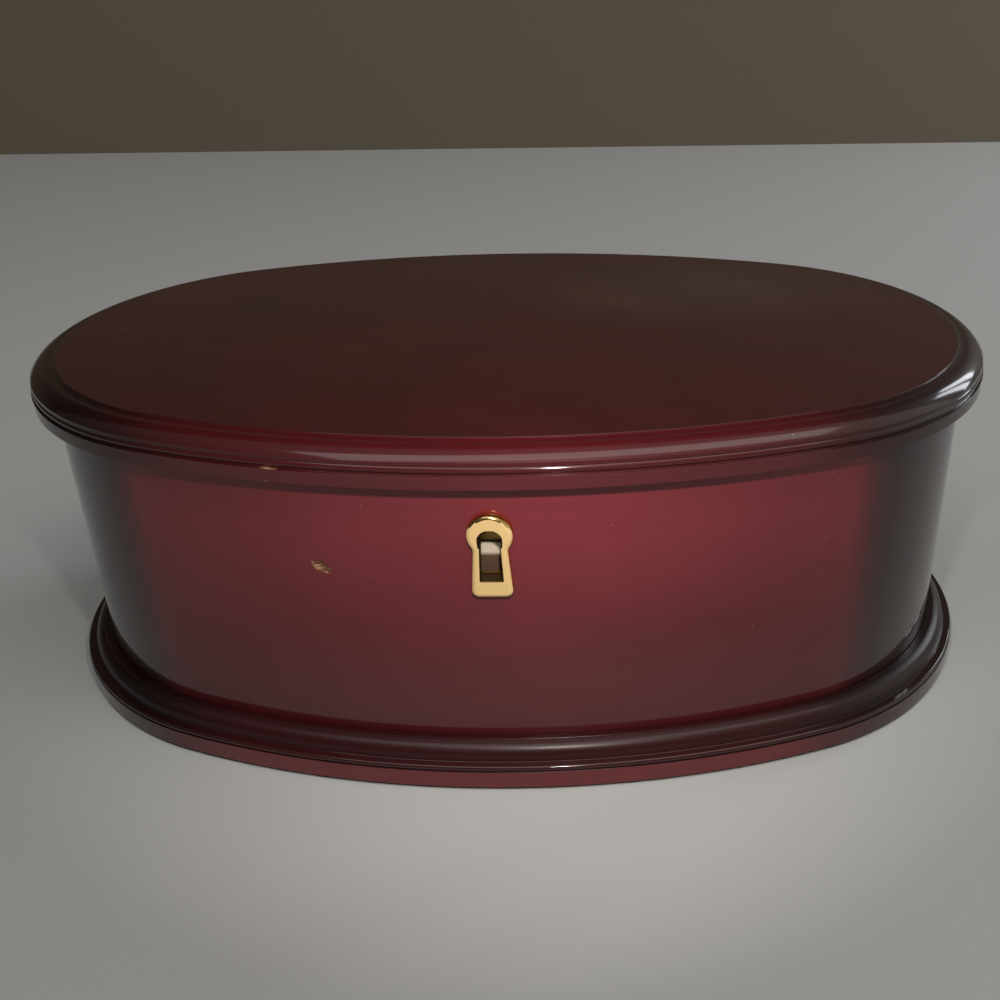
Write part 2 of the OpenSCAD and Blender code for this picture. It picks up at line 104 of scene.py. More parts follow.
def addCamera():
    turn, down, roll = (math.radians(camera[k]) for k in ("turn", "down", "roll"))
    forward = Vector((math.sin(turn) * math.cos(down), math.cos(turn) * math.cos(down), -math.sin(down)))
    right = Vector((math.cos(turn), -math.sin(turn), 0))
    up = right.cross(forward)
    rolledRight = math.cos(roll) * right + math.sin(roll) * up
    rolledUp = math.cos(roll) * up - math.sin(roll) * right
    bpy.ops.object.camera_add(location=camera["place"])
    eye = bpy.context.object
    eye.name = "photoCamera"
    axes = [rolledRight, rolledUp, -forward]
    for row in range(3):
        for column in range(3):
            eye.matrix_world[row][column] = axes[column][row]
    eye.data.lens = camera["lens"]
    eye.data.sensor_width = 36
    eye.data.shift_x, eye.data.shift_y = camera["shift"]
    eye.data.clip_start = 0.01
    bpy.context.scene.camera = eye


addCamera()
print("camera placed")

# Four-arc oval of the wall's outside
wallLow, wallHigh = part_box("box_wall")
halfLength, halfDepth = wallHigh.x, wallHigh.y
sideRadius = 261.5 * mm
chordSquared = 2 * sideRadius * halfDepth - halfDepth ** 2     # half the side arc's chord, squared
endRadius = (chordSquared - halfLength ** 2) / (2 * (sideRadius - halfLength))
endX = halfLength - endRadius
sideY = sideRadius - halfDepth
sideAngle = math.asin(endX / (sideRadius - endRadius))
rimZ = wallHigh.z
weld = 0.01 * mm         # points nearer than this are merged


# The pen draws an outline in an upright plane: side is measured along across, z goes up
pen = {}
upwards = Vector((0, 0, 1))


def penPoint(side, z):
    return pen["origin"] + side * pen["across"] + z * upwards


def startOutline(name, origin, across, side, z):
    bpy.ops.object.select_all(action="DESELECT")
    bpy.ops.mesh.primitive_plane_add(size=mm, location=(0, 0, 0))
    piece = bpy.context.object
    piece.name = piece.data.name = name
    bpy.ops.object.mode_set(mode="EDIT")
    bpy.ops.mesh.select_all(action="SELECT")
    bpy.ops.mesh.merge(type="CENTER")
    pen.update(origin=Vector(origin), across=Vector(across), side=side, z=z)
    bpy.ops.transform.translate(value=penPoint(side, z))
    return piece


def lineTo(side, z, pieces=1):
    step = (penPoint(side, z) - penPoint(pen["side"], pen["z"])) / pieces
    for _ in range(pieces):
        bpy.ops.mesh.extrude_vertices_move(TRANSFORM_OT_translate={"value": step})
    pen.update(side=side, z=z)


# A positive turn goes from below the centre outwards
def arcRound(side, z, degrees, steps):
    turn = math.radians(degrees)
    axis = upwards.cross(pen["across"])
    bpy.ops.mesh.spin(steps=steps, angle=turn, center=penPoint(side, z), axis=axis)
    reach, rise = pen["side"] - side, pen["z"] - z
    pen["side"] = side + reach * math.cos(turn) - rise * math.sin(turn)
    pen["z"] = z + reach * math.sin(turn) + rise * math.cos(turn)


# A section stands at the front middle, with its side measured outside the wall's face
def startSection(name, offset, z):
    return startOutline(name, (0, -halfDepth, 0), (0, -1, 0), offset, z)


# Mirrors the half outline that was drawn and fills it with one face
def fillBothHalves():
    bpy.ops.mesh.select_all(action="SELECT")
    bpy.ops.mesh.duplicate()
    bpy.ops.transform.resize(value=(-1, 1, 1), center_override=(0, 0, 0))
    bpy.ops.mesh.select_all(action="SELECT")
    bpy.ops.mesh.remove_doubles(threshold=weld)
    bpy.ops.mesh.edge_face_add()


# Carries the drawn section round the four arcs and closes it on itself
def sweepOval(sideSteps=36, endSteps=72):
    bpy.ops.mesh.select_all(action="SELECT")
    endAngle = math.pi - 2 * sideAngle
    turns = [
        (0, sideY, sideAngle, sideSteps // 2),
        (endX, 0, endAngle, endSteps),
        (0, -sideY, 2 * sideAngle, sideSteps),
        (-endX, 0, endAngle, endSteps),
        (0, sideY, sideAngle, sideSteps // 2),
    ]
    for x, y, angle, steps in turns:
        bpy.ops.mesh.spin(steps=steps, angle=angle, center=(x, y, 0), axis=(0, 0, -1))
    bpy.ops.mesh.select_all(action="SELECT")
    bpy.ops.mesh.remove_doubles(threshold=weld)


# Fills every open edge loop with a flat face
def fillOpenEdges():
    bpy.ops.mesh.select_mode(type="EDGE")
    bpy.ops.mesh.select_all(action="DESELECT")
    bpy.ops.mesh.select_non_manifold()
    bpy.ops.mesh.edge_face_add()
    bpy.ops.mesh.select_mode(type="VERT")
    bpy.ops.mesh.select_all(action="SELECT")
    bpy.ops.mesh.normals_make_consistent(inside=False)


def applyModifier(piece, kind, **settings):
    modifier = piece.modifiers.new(kind, kind)
    for key, value in settings.items():
        setattr(modifier, key, value)
    bpy.context.view_layer.objects.active = piece
    bpy.ops.object.modifier_apply(modifier=modifier.name)


def softenEdges(piece, width, segments=3, angle=35):
    applyModifier(piece, "BEVEL", width=width, segments=segments, limit_method="ANGLE",
                  angle_limit=math.radians(angle), use_clamp_overlap=True, miter_outer="MITER_ARC")


def smoothShade(piece, angle=35):
    bpy.ops.object.select_all(action="DESELECT")
    piece.select_set(True)
    bpy.context.view_layer.objects.active = piece
    bpy.ops.object.shade_smooth_by_angle(angle=math.radians(angle))
    applyModifier(piece, "WEIGHTED_NORMAL", keep_sharp=True, weight=60)


def cutAway(piece, cutter):
    applyModifier(piece, "BOOLEAN", object=cutter, operation="DIFFERENCE", solver="EXACT")
    bpy.data.objects.remove(cutter)


def addOn(piece, block):
    applyModifier(piece, "BOOLEAN", object=block, operation="UNION", solver="EXACT")
    bpy.data.objects.remove(block)


def boxCutter(low, high):
    bpy.ops.object.select_all(action="DESELECT")
    middle = [(a + b) / 2 for a, b in zip(low, high)]
    bpy.ops.mesh.primitive_cube_add(size=1, location=middle, scale=[b - a for a, b in zip(low, high)])
    bpy.ops.object.transform_apply(location=True, rotation=True, scale=True)
    return bpy.context.object


# Lid: panel, hollow, rounded moulding, bead and fascia in one section
lid = {
    "name": "lidBoard",
    "over": 5.5 * mm,
    "fasciaTop": 98.2 * mm,
    "beadMiddle": (4.2 * mm, 99.7 * mm),
    "beadRadius": 1.05 * mm,
    "beadHalf": 60,      # degrees that the bead turns above and below level
    "neck": 4.95 * mm,
    "roundMiddle": (-1.5 * mm, 96.8 * mm),
    "roundRadius": 8.1 * mm,
    "roundFrom": 38,     # degrees above level where the round starts, over a flat
    "roundTo": 78,
    "hollowRadius": 6.5 * mm,
    "beadSteps": 14,
    "roundSteps": 14,
    "hollowSteps": 12,
    "panelEdge": -2.7 * mm,
    "panelTop": 105.5 * mm,
    "panelStep": 0.35 * mm,
    "recessEdge": -33.9 * mm,
    "recessTop": 97.0 * mm,
    "inset": 6 * mm,
    "softEdge": 0.12 * mm,
    "softAngle": 45,     # sharper corners than this are softened
}


def modelLid():
    piece = startSection(lid["name"], lid["recessEdge"], lid["recessTop"])
    lineTo(lid["recessEdge"], rimZ)
    lineTo(lid["over"] - lid["inset"], rimZ, pieces=4)
    lineTo(lid["over"], rimZ)
    lineTo(lid["over"], lid["fasciaTop"], pieces=2)
    beadX, beadZ = lid["beadMiddle"]
    half = math.radians(lid["beadHalf"])
    beadSide, beadRise = lid["beadRadius"] * math.cos(half), lid["beadRadius"] * math.sin(half)
    lineTo(beadX + beadSide, lid["fasciaTop"])
    lineTo(beadX + beadSide, beadZ - beadRise)
    arcRound(beadX, beadZ, 2 * lid["beadHalf"], lid["beadSteps"])
    (roundX, roundZ), radius = lid["roundMiddle"], lid["roundRadius"]
    start = math.radians(lid["roundFrom"])
    lineTo(lid["neck"], pen["z"] + (lid["neck"] - pen["side"]))
    lineTo(roundX + radius * math.cos(start), roundZ + radius * math.sin(start), pieces=2)
    arcRound(roundX, roundZ, lid["roundTo"] - lid["roundFrom"], lid["roundSteps"])
    chord = Vector((lid["panelEdge"] - pen["side"], lid["panelTop"] - lid["panelStep"] - pen["z"]))
    half = math.asin(chord.length / 2 / lid["hollowRadius"])
    up = Vector((chord.y, -chord.x)).normalized() * lid["hollowRadius"] * math.cos(half)
    arcRound(pen["side"] + chord.x / 2 + up.x, pen["z"] + chord.y / 2 + up.y,
             -2 * math.degrees(half), lid["hollowSteps"])
    lineTo(lid["panelEdge"], lid["panelTop"])
    sweepOval()
    fillOpenEdges()
    bpy.ops.object.mode_set(mode="OBJECT")
    softenEdges(piece, lid["softEdge"], angle=lid["softAngle"])
    return piece


# Base: fascia, bead, ledge, rounded moulding and a small step up to the wall, which stands in a groove
base = {
    "name": "baseBoard",
    "over": 9.0 * mm,
    "foot": 1.0 * mm,
    "fasciaTop": 6.6 * mm,
    "beadMiddle": (8.0 * mm, 7.35 * mm),
    "beadRadius": 0.85 * mm,
    "beadUp": 70,        # degrees above level where the bead ends
    "neck": 6.3 * mm,
    "roundMiddle": (1.7 * mm, 8.7 * mm),
    "roundRadius": 4.3 * mm,
    "roundFrom": 8,      # degrees above level where the round starts and where it ends
    "roundTo": 79,
    "beadSteps": 12,
    "roundSteps": 12,
    "inset": 5 * mm,
    "top": 13.5 * mm,
    "wallGap": 0.1 * mm,
    "grooveInner": -8.1 * mm,
    "grooveFoot": 10.5 * mm,
    "softEdge": 0.16 * mm,
}


def modelBase():
    piece = startSection(base["name"], base["over"] - base["inset"], base["foot"])
    lineTo(base["over"], base["foot"])
    lineTo(base["over"], base["fasciaTop"], pieces=2)
    beadX, beadZ = base["beadMiddle"]
    low = math.asin((base["fasciaTop"] - beadZ) / base["beadRadius"])
    lineTo(beadX + base["beadRadius"] * math.cos(low), base["fasciaTop"])
    arcRound(beadX, beadZ, base["beadUp"] - math.degrees(low), base["beadSteps"])
    lineTo(base["neck"], pen["z"])
    (roundX, roundZ), radius = base["roundMiddle"], base["roundRadius"]
    start = math.radians(base["roundFrom"])
    lineTo(roundX + radius * math.cos(start), roundZ + radius * math.sin(start), pieces=3)
    arcRound(roundX, roundZ, base["roundTo"] - base["roundFrom"], base["roundSteps"])
    lineTo(pen["side"], base["top"])
    lineTo(base["wallGap"], base["top"])
    lineTo(base["wallGap"], base["grooveFoot"])
    lineTo(base["grooveInner"], base["grooveFoot"])
    lineTo(base["grooveInner"], base["top"])
    sweepOval()
    fillOpenEdges()
    bpy.ops.object.mode_set(mode="OBJECT")
    softenEdges(piece, base["softEdge"])
    return piece


# Wall: a bent band with a rim, a lock mortise, hinge seats and the key's way through
wall = {
    "name": "boxWall",
    "thick": 8.0 * mm,
    "bands": 14,
    "sideSteps": 48,
    "endSteps": 84,
    "softEdge": 0.4 * mm,
    "softAngle": 50,
}


def modelWall():
    piece = startSection(wall["name"], 0, wallLow.z)
    lineTo(0, rimZ, wall["bands"])
    lineTo(-wall["thick"], rimZ)
    lineTo(-wall["thick"], wallLow.z, wall["bands"])
    lineTo(0, wallLow.z)
    sweepOval(wall["sideSteps"], wall["endSteps"])
    bpy.ops.mesh.normals_make_consistent(inside=False)
    bpy.ops.object.mode_set(mode="OBJECT")
    softenEdges(piece, wall["softEdge"], angle=wall["softAngle"])
    return piece


# Seats cut into the wood for the fittings; past is how far a cutter runs out of the wood
seats = {
    "fit": 0.1 * mm,
    "past": 20 * mm,
    "leafDepth": 1.4 * mm,
    "knuckleDepth": 2.5 * mm,
    "knuckleRoom": 0.4 * mm,
    "lockPlate": 1.2 * mm,
    "selvedge": 1.7 * mm,
}


def grownBox(node, grow, low=(None, None, None), high=(None, None, None)):
    corners = zip(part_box(node), (low, high), (-grow, grow))
    return boxCutter(*([corner[i] + extra if fixed[i] is None else fixed[i] for i in range(3)]
                       for corner, fixed, extra in corners))


def seatHinges(wallPiece, lidPiece):
    fit, past = seats["fit"], seats["past"]
    for side in ("left", "right"):
        leaf = "hinge_leaf_wall_" + side
        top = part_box(leaf)[1].y
        cutAway(wallPiece, grownBox(leaf, fit, (None, None, rimZ - seats["leafDepth"]),
                                    (None, top, rimZ + past)))
        leaf = "hinge_leaf_lid_" + side
        cutAway(lidPiece, grownBox(leaf, fit, (None, None, rimZ - past),
                                   (None, halfDepth + fit, rimZ + seats["leafDepth"])))
        cutAway(lidPiece, grownBox(leaf, seats["knuckleRoom"], (None, halfDepth - fit, rimZ - past),
                                   (None, halfDepth + past, rimZ + seats["knuckleDepth"])))


def cutLockMortise(wallPiece, lidPiece):
    fit, past = seats["fit"], seats["past"]
    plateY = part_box("lock_plate")[1].y
    cutAway(wallPiece, grownBox("lock_plate", fit, (None, plateY - seats["lockPlate"], None),
                                (None, plateY + past, rimZ + past)))
    cutAway(wallPiece, grownBox("lock_plate", fit, (None, None, rimZ - seats["selvedge"]),
                                (None, plateY + past, rimZ + past)))
    cutAway(wallPiece, grownBox("lock_cap", fit, (None, None, None), (None, plateY + past, rimZ + past)))
    cutAway(lidPiece, grownBox("strike_plate", fit, (None, None, rimZ - past)))


boxWall = modelWall()
lidBoard = modelLid()
baseBoard = modelBase()
seatHinges(boxWall, lidBoard)
cutLockMortise(boxWall, lidBoard)

# Keyhole plate: a cast brass plate with a round head, a neck and a square foot, and a collar into the wood
plate = {
    "name": "keyholePlate",
    "headRadius": 6.2 * mm,
    "headZ": 79.6 * mm,
    "neckRadius": 2.5 * mm,
    "shoulder": 4.45 * mm,
    "footHalf": 5.8 * mm,
    "footZ": 61.0 * mm,
    "cornerRadius": 2.1 * mm,
    "proud": 2.6 * mm,
    "roundEdge": 1.5 * mm,
    "roundSteps": 6,
    "collar": 0.7 * mm,
    "collarDepth": 1.4 * mm,
    "headSteps": 30,
    "neckSteps": 8,
    "cornerSteps": 10,
    "faceTurn": 0.55,    # how far round the edge the satin face goes, and where its bright top starts
    "topTurn": 0.3,
    "softEdge": 0.22 * mm,
    "softAngle": 50,
}
keyhole = {
    "radius": 3.3 * mm,
    "middleZ": 78.1 * mm,
    "slotTop": 2.6 * mm,
    "slotFoot": 3.0 * mm,
    "footZ": 66.3 * mm,
    "room": 0.1 * mm,
    "steps": 20,
}


# The keyhole as a solid from y to y + depth, grown all round
def keyholeBlock(grow, y, depth):
    radius, middleZ = keyhole["radius"] + grow, keyhole["middleZ"]
    corner = Vector((keyhole["slotTop"] + grow, 0))
    foot = Vector((keyhole["slotFoot"] + grow, keyhole["footZ"] - grow - middleZ))
    down = (foot - corner).normalized()
    reach = math.sqrt(corner.dot(down) ** 2 - corner.length_squared + radius ** 2) - corner.dot(down)
    meet = corner + reach * down
    block = startOutline("keyholeBlock", (0, y, 0), (1, 0, 0), 0, middleZ + radius)
    arcRound(0, middleZ, math.degrees(math.atan2(meet.y, meet.x)) - 90, keyhole["steps"])
    lineTo(foot.x, middleZ + foot.y)
    lineTo(0, middleZ + foot.y)
    fillBothHalves()
    bpy.ops.mesh.extrude_region_move(TRANSFORM_OT_translate={"value": (0, depth, 0)})
    bpy.ops.mesh.select_all(action="SELECT")
    bpy.ops.mesh.normals_make_consistent(inside=False)
    bpy.ops.object.mode_set(mode="OBJECT")
    return block


def modelPlate():
    head, neck = plate["headRadius"], plate["neckRadius"]
    shoulder = Vector((plate["shoulder"], 0))
    foot = Vector((plate["footHalf"], plate["footZ"] - plate["headZ"]))
    down = (foot - shoulder).normalized()
    outward = Vector((-down.y, down.x))
    lean = math.degrees(math.atan2(outward.y, outward.x))
    beside = shoulder + neck * outward
    ahead = beside.dot(down)
    reach = math.sqrt(ahead ** 2 - beside.length_squared + (head + neck) ** 2) - ahead
    neckMiddle = beside + reach * down
    neckAngle = math.degrees(math.atan2(neckMiddle.y, neckMiddle.x))
    cornerZ = plate["footZ"] + plate["cornerRadius"]
    atCorner = shoulder + down * ((cornerZ - plate["headZ"]) / down.y)
    cornerX = atCorner.x - plate["cornerRadius"] / outward.x
    piece = startOutline(plate["name"], (0, -halfDepth, 0), (1, 0, 0), 0, plate["headZ"] + head)
    arcRound(0, plate["headZ"], neckAngle - 90, plate["headSteps"])
    arcRound(neckMiddle.x, plate["headZ"] + neckMiddle.y, lean - neckAngle, plate["neckSteps"])
    rounded = plate["cornerRadius"] * outward
    lineTo(cornerX + rounded.x, cornerZ + rounded.y, pieces=3)
    arcRound(cornerX, cornerZ, -90 - lean, plate["cornerSteps"])
    lineTo(0, plate["footZ"])
    fillBothHalves()
    edge, steps = plate["roundEdge"], plate["roundSteps"]
    bpy.ops.mesh.extrude_region_move(TRANSFORM_OT_translate={"value": (0, edge - plate["proud"], 0)})
    bpy.ops.mesh.normals_make_consistent(inside=False)
    angles = [math.pi / 2 * i / steps for i in range(steps + 1)]
    for last, angle in zip(angles, angles[1:]):
        inward = edge * (math.cos(last) - math.cos(angle))
        forward = edge * (math.sin(angle) - math.sin(last))
        bpy.ops.mesh.inset(thickness=inward)
        bpy.ops.transform.translate(value=(0, -forward, 0))
    bpy.ops.mesh.select_all(action="SELECT")
    bpy.ops.mesh.normals_make_consistent(inside=False)
    bpy.ops.object.mode_set(mode="OBJECT")
    depth = plate["collarDepth"]
    addOn(piece, keyholeBlock(plate["collar"], -halfDepth - depth, 2 * depth))
    cutAway(piece, keyholeBlock(0, -halfDepth - 2 * plate["proud"], 4 * plate["proud"]))
    softenEdges(piece, plate["softEdge"], segments=2, angle=plate["softAngle"])
    return piece


keyholePlate = modelPlate()
keyWay = keyholeBlock(plate["collar"] + keyhole["room"], -halfDepth - plate["proud"],
                      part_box("lock_cap")[0].y + halfDepth + 2 * plate["proud"])
cutAway(boxWall, keyWay)


# A point on the front of the wood, from its place along the front and its height;
# out is measured from the wall's face
def onFront(x, z, out=0.0):
    angle = math.asin(x / sideRadius)
    reach = sideRadius + out
    return Vector((reach * math.sin(angle), sideY - reach * math.cos(angle), z))


# Places where a knock has taken the lacquer off
wallChip = {
    "place": onFront(-46.2 * mm, 67.2 * mm),
    "size": (6.2 * mm, 1.7 * mm, 3.5 * mm),
    "tilt": 28,
    "rough": 0.12,
    "seed": 4,
}
lidChip = {
    "place": onFront(-55 * mm, rimZ, lid["over"]),
    "size": (1.3 * mm, 0.7 * mm, 0.8 * mm),
    "tilt": 0,
    "rough": 0.1,
    "seed": 7,
}


def chipAway(piece, chip):
    lean = math.atan2(chip["place"].x, sideY - chip["place"].y)
    bpy.ops.object.select_all(action="DESELECT")
    bpy.ops.mesh.primitive_ico_sphere_add(subdivisions=3, radius=0.5, location=(0, 0, 0))
    cutter = bpy.context.object
    bpy.ops.object.mode_set(mode="EDIT")
    bpy.ops.mesh.select_all(action="SELECT")
    bpy.ops.transform.vertex_random(offset=chip["rough"], normal=1.0, seed=chip["seed"])
    bpy.ops.transform.resize(value=chip["size"], center_override=(0, 0, 0))
    bpy.ops.mesh.normals_make_consistent(inside=False)
    bpy.ops.object.mode_set(mode="OBJECT")
    cutter.location = chip["place"]
    cutter.rotation_euler = (0, math.radians(chip["tilt"]), lean)
    bpy.ops.object.transform_apply(location=True, rotation=True, scale=True)
    cutAway(piece, cutter)


chipAway(boxWall, wallChip)
chipAway(lidBoard, lidChip)
smoothShade(boxWall)
smoothShade(keyholePlate)
mouldingCrease = 20      # degrees; keeps the lines between the mouldings sharp
for piece in (lidBoard, baseBoard):
    smoothShade(piece, mouldingCrease)
print("wood pieces and keyhole plate modelled")


# A merged copy of a CAD node's mesh, as a start for a softer piece
def copyNode(node, name):
    piece = bpy.data.objects.new(name, nodes[node].data.copy())
    piece.data.name = name
    bpy.context.collection.objects.link(piece)
    bpy.ops.object.select_all(action="DESELECT")
    piece.select_set(True)
    bpy.context.view_layer.objects.active = piece
    bpy.ops.object.mode_set(mode="EDIT")
    bpy.ops.mesh.select_all(action="SELECT")
    bpy.ops.mesh.remove_doubles(threshold=weld)
    bpy.ops.mesh.dissolve_limited(angle_limit=math.radians(1))
    bpy.ops.object.mode_set(mode="OBJECT")
    return piece


# Boards between the bays: card wrapped in velvet, so every edge is round
dividers = {"roundEdge": 1.3 * mm, "segments": 4, "crease": 60}


def wrapDivider(node, name):
    piece = copyNode(node, name)
    softenEdges(piece, dividers["roundEdge"], dividers["segments"])
    smoothShade(piece, dividers["crease"])
    return piece


dividerLeft = wrapDivider("divider_left", "dividerLeft")
dividerRight = wrapDivider("divider_right", "dividerRight")

# Foam under velvet, puffed by a short cloth simulation; the flat bottom is held
puff = {
    "voxel": 2.2 * mm,
    "pressure": 4.0,
    "frames": 20,
    "heldHeight": 1.4 * mm,
    "crease": 80,
}


def puffUp(piece, seatZ, mostMove):
    scene = bpy.context.scene
    applyModifier(piece, "REMESH", mode="VOXEL", voxel_size=puff["voxel"])
    held = piece.vertex_groups.new(name="heldBottom")
    bottom = [v.index for v in piece.data.vertices if v.co.z < seatZ + puff["heldHeight"]]
    held.add(bottom, 1.0, "REPLACE")
    starts = [v.co.copy() for v in piece.data.vertices]
    cloth = piece.modifiers.new("puffing", "CLOTH")
    cloth.settings.use_pressure = True
    cloth.settings.uniform_pressure_force = puff["pressure"]
    cloth.settings.vertex_group_mass = held.name
    cloth.settings.effector_weights.gravity = 0
    cloth.point_cache.frame_end = puff["frames"]
    for step in range(1, puff["frames"] + 1):
        scene.frame_set(step)
    bpy.context.view_layer.objects.active = piece
    bpy.ops.object.modifier_apply(modifier=cloth.name)
    scene.frame_set(1)
    moves = [v.co - start for v, start in zip(piece.data.vertices, starts)]
    for vertex, start, move in zip(piece.data.vertices, starts, moves):
        if move.length > mostMove:
            vertex.co = start + move * (mostMove / move.length)
    piece.vertex_groups.clear()
    applyModifier(piece, "SUBSURF", levels=1, render_levels=1)
    smoothShade(piece, puff["crease"])
    print(piece.name, "puffed, most move", round(max(m.length for m in moves) / mm, 2), "mm")


# Pads of the two end bays: they start smaller than their bay and swell towards it
pads = {"start": 0.975, "startHeight": 0.86, "mostMove": 0.9 * mm}


def modelPad(node, name):
    piece = copyNode(node, name)
    low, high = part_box(node)
    middle = (low + high) / 2
    bpy.ops.object.mode_set(mode="EDIT")
    bpy.ops.mesh.select_all(action="SELECT")
    bpy.ops.transform.resize(value=(pads["start"], pads["start"], pads["startHeight"]),
                             center_override=(middle.x, middle.y, low.z))
    bpy.ops.object.mode_set(mode="OBJECT")
    puffUp(piece, low.z, pads["mostMove"])
    return piece


padLeft = modelPad("pad_left", "padLeft")
padRight = modelPad("pad_right", "padRight")

# Seven rolls that hold rings between them
rolls = {
    "name": "ringRolls",
    "count": 7,
    "gap": 1.0 * mm,
    "start": 0.97,
    "startLength": 0.985,
    "vertices": 40,
    "endRound": 2.6 * mm,
    "endSegments": 5,
    "flat": 0.5 * mm,
    "mostMove": 0.45 * mm,
}


def modelRolls():
    low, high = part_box("ring_rolls")
    pitch = (high.y - low.y + rolls["gap"]) / rolls["count"]
    radius = (pitch - rolls["gap"]) / 2
    middle = ((low.x + high.x) / 2, low.y + radius, low.z + radius - rolls["flat"])
    bpy.ops.object.select_all(action="DESELECT")
    bpy.ops.mesh.primitive_cylinder_add(vertices=rolls["vertices"], radius=radius * rolls["start"],
                                        depth=(high.x - low.x) * rolls["startLength"], location=middle,
                                        rotation=(0, math.pi / 2, 0))
    bpy.ops.object.transform_apply(location=True, rotation=True, scale=True)
    piece = bpy.context.object
    piece.name = piece.data.name = rolls["name"]
    softenEdges(piece, rolls["endRound"], rolls["endSegments"])
    bpy.ops.object.mode_set(mode="EDIT")
    bpy.ops.mesh.select_all(action="SELECT")
    bpy.ops.mesh.bisect(plane_co=(0, 0, low.z), plane_no=(0, 0, -1), clear_outer=True, use_fill=True)
    bpy.ops.object.mode_set(mode="OBJECT")
    puffUp(piece, low.z, rolls["mostMove"])
    bpy.ops.object.mode_set(mode="EDIT")
    bpy.ops.mesh.select_all(action="SELECT")
    for _ in range(rolls["count"] - 1):
        bpy.ops.mesh.duplicate_move(TRANSFORM_OT_translate={"value": (0, pitch, 0)})
    bpy.ops.object.mode_set(mode="OBJECT")
    return piece


ringRolls = modelRolls()
print("velvet pieces modelled")


# Cherry stained dark red under gloss lacquer: faint streaks and clouds, a few dust specks, and a coat that
# mirrors the room. Painted shade darkens the stain at the foot and round the ends, and leaves it bright on
# the long sides.
# The base's round is rubbed thin and dull, and the panel carries a painted reflection, a patch of pale
# grey-brown
lacquer = {
    "gloss": 0.035,
    "cloud": 34 * mm,
    "cloudShare": 0.55,                  # share of the clouds beside the streaks
    "figureShare": 0.25,                 # share of clouds and streaks beside the painted shade
    "peel": 4 * mm,
    "peelDepth": 0.2 * mm,
    "speckSpacing": 6.5 * mm,
    "speckSize": (0.015, 0.045),         # shares of the spacing at the speck's middle and edge
    "speckStrength": 0.55,
    "specklessShare": 0.8,
    "speck": "#a89a92",
    "wallPaintedEndShade": (97 * mm, 112 * mm),     # distance from the middle where the painted shade of the ends starts and where it is full
    "mouldingPaintedEndShade": (74 * mm, 115 * mm),
    # painted shade towards the foot: the heights where it is full and where it ends, and its level at the
    # foot
    "paintedShadeFoot": 10 * mm,
    "paintedShadeTop": 78 * mm,
    "paintedFootShadeLevel": 0.55,
    # painted reflection of the pale room on the panel: its colour, middle, reach, shape and strength
    "hazeAndPaintedReflection": "#7d7068",
    "paintedReflectionPlace": (62 * mm, 38 * mm, 0),
    "paintedReflectionReach": 75 * mm,
    "paintedReflectionShape": (1, 1.6, 0),
    "paintedReflectionStrength": 0.3,
}


